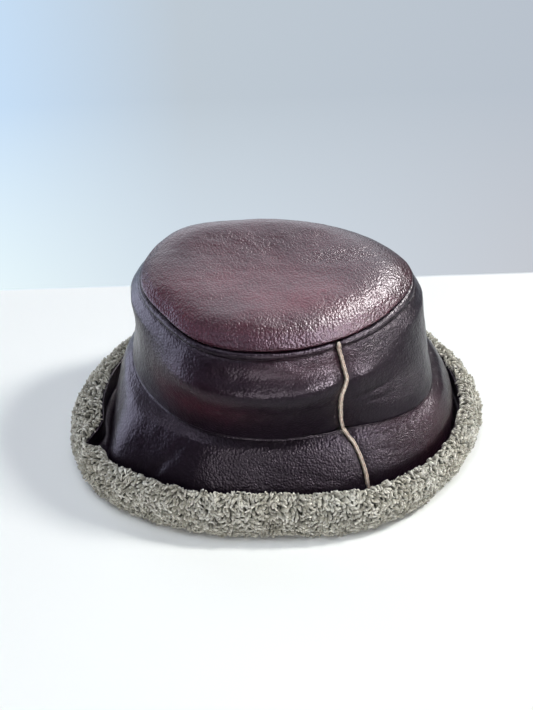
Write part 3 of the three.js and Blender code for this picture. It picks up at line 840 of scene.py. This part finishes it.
def cut_edge_material():
    """Pale fibres with dark specks, and a dark line where the mesh's attribute says middle."""
    material, n = new_material("cut_edge")
    place = n.add("TexCoord", out="Object")
    speckle = n.noise(place, 1500.0, 3.0, 0.7)
    fibre = n.noise(place, 600.0)
    middle = n.attribute("middle")
    darker, paler = CUT_SHADES
    colour = n.ramp(fibre, (0.35, darker), (0.65, paler))
    colour = n.mix(n.maths("MULTIPLY", middle, 0.75), colour, CUT_CLEFT)
    colour = n.mix(n.ramp(speckle, (0.62, 0.0), (0.70, 0.8)), colour, CUT_SPECKLE)
    bump_node = n.add("Bump", {"Strength": 0.6, "Distance": CUT_DEPTH, "Height": speckle})
    surface = n.add("BsdfPrincipled", {"Base Color": colour, "Roughness": 0.85, "Normal": bump_node})
    n.add("OutputMaterial", {"Surface": surface})
    return material


def wool_material():
    """The painted shade and tone from the mesh make the curls dark at the root and pale at the tip: painted
    shade between the curls and painted light on their tips.
    """
    material, n = new_material("wool")
    place = n.add("TexCoord", out="Object")
    shade_and_tone = n.attribute("shade_and_tone")
    fibres = n.noise(place, 2600.0, roughness=0.6)
    patches = n.noise(place, 45.0)
    # Painted shade at the roots and painted light at the tips, from the mesh's shade and tone.
    colour = n.ramp(shade_and_tone, (0.08, WOOL_ROOT_SHADE), (0.42, WOOL_MIDDLE), (0.76, WOOL_LIT_TIP))
    colour = n.mix(1.0, colour, n.ramp(patches, (0.3, WOOL_PATCH), (0.7, WHITE)), "MULTIPLY")
    colour = n.mix(1.0, colour, n.ramp(fibres, (0.3, 0.78), (0.7, 1.0)), "MULTIPLY")
    bump_node = n.add("Bump", {"Strength": 0.7, "Distance": WOOL_DEPTH, "Height": fibres})
    surface = n.add("BsdfPrincipled", {
        "Base Color": colour, "Roughness": 0.95, "Normal": bump_node, "Specular IOR Level": 0.2,
        "Sheen Weight": 0.15, "Sheen Roughness": 0.5,
    })
    n.add("OutputMaterial", {"Surface": surface})
    return material


LEATHER_LOOK = leather_material()
CUT_LOOK = cut_edge_material()
WOOL_LOOK = wool_material()
LEATHER_LOOKS = [LEATHER_LOOK, CUT_LOOK]


# The leather

def dress(made, slot, *nodes):
    """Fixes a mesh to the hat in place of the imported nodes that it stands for."""
    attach(made, "root")
    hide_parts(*nodes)


def paint(made, name, level, patches):
    """Gives a mesh a level all over, and more or less of it in patches of (centre, size, change)."""
    count = len(made.data.vertices)
    points = np.empty(count * 3, np.float32)
    made.data.vertices.foreach_get("co", points)
    points = points.reshape(-1, 3) / MM
    total = np.full(count, level)
    for centre, size, change in patches:
        total = total + change * np.exp(-(((points - centre) / size) ** 2).sum(1))
    give(made, name, np.maximum(total, 0))


# The shares where each leather piece has its rows. Its columns are a number all round, or turns from the
# seam.
TOP_COLUMNS = 400
TOP_OUTER = spread((0, 0.6, 24), (0.6, 1, 30))
TOP_INNER = np.linspace(1, 0, 14)
BAND_OUTER = spread((0, 0.1, 22), (0.1, 0.9, 50), (0.9, 1, 12))
BAND_INNER = np.array([1, 0.82, 0.66, 0.5, 0.34, 0.2, 0.09, 0])
BAND_TURNS = np.linspace(0, 360, 621)
BRIM_OUTER = spread((0, 0.1, 16), (0.1, 0.66, 40), (0.66, 0.88, 20), (0.88, 1, 8))
BRIM_INNER = np.array([1, 0.94, 0.88, 0.85, 0.82, 0.8, 0.78, 0.76, 0.74, 0.7, 0.6, 0.34, 0.12, 0])
BRIM_TURNS = np.linspace(0, 360, 641)
BAND_SEAM_SHARES = np.linspace(0.012, 0.985, 110)
BRIM_SEAM_SHARES = np.linspace(0.03, 0.62, 70)

# How crinkled, pebbled and red each leather piece is: a level all over, and patches, each with its centre and
# size in millimetres and the change in the level there. The red is partly the leather's own blotchy tone and
# partly painted shade: the band and brim get far less of it than the top, so that their lower faces, which
# lie in shade, come out dark.
PAINT = {
    "top_panel": {
        "crinkle": (0.04, [((-20, 38, 132), (28, 9, 9), 0.15), ((49, 10, 131), (22, 11, 9), 0.5)]),
        "grain": (0.46, [((60, -50, 128), (38, 24, 20), 0.08), ((-10, 45, 130), (60, 25, 20), -0.1)]),
        "red": (0.3, [((10, -42, 128), (60, 34, 20), 0.65), ((-10, 0, 130), (50, 30, 20), 0.3)]),
    },
    "side_band": {
        "crinkle": (0.03, [((80, -68, 78), (22, 18, 8), 1.2), ((55, -72, 110), (16, 16, 7), 1.0),
                           ((16, -92, 112), (22, 8, 5), 0.5)]),
        "grain": (0.3, [((-80, -50, 95), (40, 40, 40), 0.2), ((85, -50, 90), (45, 35, 40), 0.2)]),
        "red": (0.03, [((-62, -72, 84), (26, 26, 14), 0.35), ((-30, -92, 84), (22, 22, 12), 0.3),
                       ((20, -92, 110), (40, 20, 8), 0.2)]),
    },
    "brim": {
        "crinkle": (0.03, [((84, -84, 50), (26, 24, 14), 1.3), ((14, -110, 46), (40, 20, 16), 0.3)]),
        "grain": (0.35, [((14, -108, 44), (50, 22, 20), 0.6), ((84, -84, 50), (34, 34, 24), 0.3)]),
        "red": (0.03, [((98, -68, 48), (34, 34, 20), 0.25)]),
    },
}

top = disc_shell("top_panel_leather", top_face, TOP_COLUMNS, TOP_OUTER, TOP_INNER, TOP_CREASES, 11,
                 LEATHER_LOOK)
band = strip_shell("side_band_leather", band_face, band_azimuth, BAND_TURNS, BAND_OUTER, BAND_INNER,
                   BAND_CREASES, 21, LEATHER_LOOKS, rolled_edge(band_seam_azimuth, 2.0))
brim = strip_shell("brim_leather", brim_face, brim_azimuth, BRIM_TURNS, BRIM_OUTER, BRIM_INNER,
                   BRIM_CREASES, 31, LEATHER_LOOKS, rolled_edge(brim_seam_azimuth, 0.7))
for made, node in ((top, "top_panel"), (band, "side_band"), (brim, "brim")):
    for attribute, (level, patches) in PAINT[node].items():
        paint(made, attribute, level, patches)
    dress(made, "leather", node)

for node, face, seam_azimuth, shares, seed in (
        ("band_seam", band_face, band_seam_azimuth, BAND_SEAM_SHARES, 41),
        ("brim_seam", brim_face, brim_seam_azimuth, BRIM_SEAM_SHARES, 51)):
    dress(raw_seam(node + "_edge", face, seam_azimuth, shares, seed, CUT_LOOK), "cut_edge", node)


# The wool's pieces: three for the turned-up edge, each a third of the way round, one under the brim and
# two inside the crown
THIRDS_FROM = 210  # azimuth where the first third starts
WOOL_COLUMNS = 300
TOP_WOOL_COLUMNS = 240


def cuff_wool(number, seed):
    def in_third(azimuth):
        return ((azimuth - THIRDS_FROM) % 360 // 120).astype(int) == number

    field = curl_field(cuff_wool_face, 0.0, 0.93, CURL_SPACING, seed, CURL, CURL_SIZE, CURL_SINK,
                       keep=in_third, girth=CURL_GIRTH)
    fringe = curl_field(cuff_wool_face, 0.0, 0.06, FRINGE_SPACING, seed + 10, CURL, CURL_SIZE, CURL_SINK,
                        keep=in_third, turned=math.pi, girth=FRINGE_GIRTH, rise=FRINGE_RISE)
    return wool_piece(f"cuff_curls_{number + 1}", [field, fringe], WOOL_LOOK)


def inner_wool(name, behind, face, start, end, seed):
    field = curl_field(face, start, end, INNER_SPACING, seed, SHORT_CURL, INNER_SIZE, facing=-1)
    return wool_piece(name, [behind, field], WOOL_LOOK)


for number, seed in enumerate((61, 62, 63)):
    dress(cuff_wool(number, seed), "wool", "brim_fleece")

for name, behind, face, start, end, seed, node in (
        ("brim_wool", backing(WOOL_COLUMNS, brim_wool_outline), brim_wool_face, 0.0, 1.0, 71, "brim_fleece"),
        ("band_wool", backing(WOOL_COLUMNS, band_wool_outline), crown_wool_face, 0.0, 1.0, 81, "band_fleece"),
        ("top_wool", top_wool_backing(TOP_WOOL_COLUMNS), top_wool_face, 0.02, 0.97, 91, "top_fleece")):
    dress(inner_wool(name, behind, face, start, end, seed), "wool", node)


# The camera: AIM falls on AIM_PIXEL of the photograph, seen from CAMERA_ELEVATION and CAMERA_DISTANCE
IMAGE = (533, 710)  # its width and height in pixels
FOCAL_PIXELS = 986.0
CAMERA_DISTANCE = 0.710
CAMERA_ELEVATION = math.radians(36)
CAMERA_ROLL = math.radians(2.1)
AIM = Vector((AXIS[0] * MM, AXIS[1] * MM, 0.031))
AIM_PIXEL = (274, 390)
AIM_STEPS = 40  # turns of the camera towards the place where AIM falls on AIM_PIXEL


def camera_axes(yaw, pitch):
    ahead = Vector((math.sin(yaw) * math.cos(pitch), math.cos(yaw) * math.cos(pitch), -math.sin(pitch)))
    right = Vector((math.cos(yaw), -math.sin(yaw), 0))
    return ahead, right, right.cross(ahead)


def make_camera():
    eye = AIM - CAMERA_DISTANCE * Vector((0, math.cos(CAMERA_ELEVATION), -math.sin(CAMERA_ELEVATION)))
    dx, dy = AIM_PIXEL[0] - IMAGE[0] / 2, AIM_PIXEL[1] - IMAGE[1] / 2
    cosine, sine = math.cos(CAMERA_ROLL), math.sin(CAMERA_ROLL)
    wanted = dx * cosine - dy * sine, dx * sine + dy * cosine
    yaw, pitch = 0.0, CAMERA_ELEVATION
    for _ in range(AIM_STEPS):
        ahead, right, up = camera_axes(yaw, pitch)
        offset = AIM - eye
        seen = (FOCAL_PIXELS * offset.dot(right) / offset.dot(ahead),
                -FOCAL_PIXELS * offset.dot(up) / offset.dot(ahead))
        yaw += (seen[0] - wanted[0]) / FOCAL_PIXELS
        pitch += (seen[1] - wanted[1]) / FOCAL_PIXELS
    ahead, right, up = camera_axes(yaw, pitch)
    across, over = cosine * right - sine * up, sine * right + cosine * up
    data = bpy.data.cameras.new("camera")
    data.sensor_width = 36
    data.lens = FOCAL_PIXELS / max(IMAGE) * data.sensor_width
    data.clip_start, data.clip_end = 0.01, 50
    camera = bpy.data.objects.new("camera", data)
    bpy.context.scene.collection.objects.link(camera)
    turned = Matrix((across, over, -ahead)).transposed().to_4x4()
    camera.matrix_world = Matrix.Translation(eye) @ turned
    bpy.context.scene.camera = camera


make_camera()


# The floor, the wall's place behind it, and the light, in metres
WALL_Y = 0.203  # where the white stops and the wall's tones start
WALL_BLEND = 0.004  # over which one passes into the other
WALL_TOP_Y = 0.7  # where the wall's upper tones are reached
FLOOR_REACH = 6000  # millimetres from the hat to each side of the floor


def make_floor():
    """A white floor. Past WALL_Y it takes the wall's tones, which change along x and up the picture: painted
    light, brighter and bluer to the left where light falls on the wall, and shown as a glow, though the wall
    is no lamp.
    """
    material, n = new_material("floor")
    place = n.add("TexCoord", out="Object")
    x, y, _ = n.split(place)
    sideways = n.maths("MULTIPLY_ADD", n.maths("DIVIDE", x, n.maths("ADD", y, 0.6)), 1.0, 0.5)
    # Painted light on the wall: bright and blue to the left, greyer to the right.
    low = n.ramp(sideways, (0.16, rgb(0.83, 0.96, 1.0)), (0.40, rgb(0.66, 0.75, 0.83)),
                 (0.84, rgb(0.55, 0.57, 0.62)))
    high = n.ramp(sideways, (0.20, rgb(0.58, 0.76, 0.97)), (0.42, rgb(0.52, 0.59, 0.66)),
                  (0.84, rgb(0.48, 0.53, 0.60)))
    height = n.add("MapRange", {"Value": y, "From Min": WALL_Y, "From Max": WALL_TOP_Y})
    # Painted light: the wall's tones are an emission, so this part of the floor glows.
    wall = n.add("Emission", {"Color": n.mix(height, low, high), "Strength": 1.0})
    smudges = n.ramp(n.noise(place, 1.7), (0.35, rgb(0.90, 0.91, 0.92)), (0.65, rgb(0.93, 0.94, 0.94)))
    floor = n.add("BsdfPrincipled", {"Base Color": smudges, "Roughness": 0.8, "Specular IOR Level": 0.15})
    beyond = n.add("MapRange", {"Value": y, "From Min": WALL_Y, "From Max": WALL_Y + WALL_BLEND})
    surface = n.add("MixShader", {0: beyond, 1: floor, 2: wall})
    n.add("OutputMaterial", {"Surface": surface})
    far = FLOOR_REACH
    corners = [(-far, -far, 0), (far, -far, 0), (far, far, 0), (-far, far, 0)]
    make_mesh("floor", np.array(corners), [(0, 1, 2, 3)], materials=[material])


LIGHT_DISTANCE = 1.5
LIT_PLACE = Vector((0, 0, 0.08))  # the lights stand round it and face it

# Each light's azimuth and elevation in degrees, width, watts and colour. A light may give only the soft
# light that surfaces scatter, or only the shine that they mirror.
LIGHTS = {
    "window": (2, 48, 0.26, 15.5, (1.0, 1.0, 0.94), "both"),
    "window_shine": (54, 46, 0.34, 44, (1.0, 0.99, 0.96), "shine"),
    "high_right": (0, 68, 0.6, 38, (0.94, 0.90, 1.0), "shine"),
    "high_left": (180, 68, 0.8, 7, (0.85, 0.85, 1.0), "shine"),
    "high_front": (270, 68, 1.0, 11, (0.90, 0.95, 1.0), "soft"),
    "low_front": (262, 14, 1.0, 5.5, (1.0, 1.0, 1.0), "soft"),
    "low_left": (135, 10, 1.0, 13, (0.80, 0.88, 1.0), "soft"),
    "left_shine": (158, 6, 1.7, 36, (0.75, 0.78, 1.0), "shine"),
    "back_shine": (95, 26, 1.6, 15, (0.92, 0.92, 1.0), "shine"),
    "brim_shine": (322, 28, 0.4, 36, (1.0, 0.98, 1.0), "shine"),
    "shoulder_shine": (9, 26, 0.3, 9, (1.0, 0.96, 0.98), "shine"),
    "front_shine": (268, 27, 0.9, 15, (1.0, 0.98, 1.0), "shine"),
}


def area_light(name, azimuth, elevation, size, power, colour, gives):
    data = bpy.data.lights.new(name, "AREA")
    data.shape, data.size, data.energy, data.color = "DISK", size, power, colour
    light = bpy.data.objects.new(name, data)
    light.visible_diffuse = gives != "shine"
    light.visible_glossy = gives != "soft"
    bpy.context.scene.collection.objects.link(light)
    a, e = math.radians(azimuth), math.radians(elevation)
    away = Vector((math.cos(a) * math.cos(e), math.sin(a) * math.cos(e), math.sin(e)))
    light.location = LIT_PLACE + away * LIGHT_DISTANCE
    light.rotation_mode = "QUATERNION"
    light.rotation_quaternion = away.to_track_quat("Z", "Y")


def make_world():
    """Dim all round: bluest to the left, brightest behind the hat, dimmest behind the camera."""
    world = bpy.data.worlds.new("world")
    bpy.context.scene.world = world
    world.use_nodes = True
    n = Nodes(world.node_tree)
    x, y, _ = n.split(n.add("TexCoord", out="Generated"))
    to_left = n.maths("MULTIPLY_ADD", x, -0.5, 0.5)
    to_back = n.maths("MULTIPLY_ADD", y, 0.5, 0.5)
    tint = n.ramp(to_left, (0.0, rgb(0.82, 0.84, 0.90)), (0.5, rgb(0.80, 0.85, 0.94)),
                  (1.0, rgb(0.74, 0.86, 1.0)))
    strength = n.ramp(to_back, (0.0, 0.02), (0.44, 0.03), (0.6, 0.07), (1.0, 0.10))
    background = n.add("Background", {"Color": tint, "Strength": strength})
    n.add("OutputWorld", {"Surface": background})


make_floor()
make_world()
for name, light in LIGHTS.items():
    area_light(name, *light)
bpy.context.scene.view_settings.view_transform = "Standard"
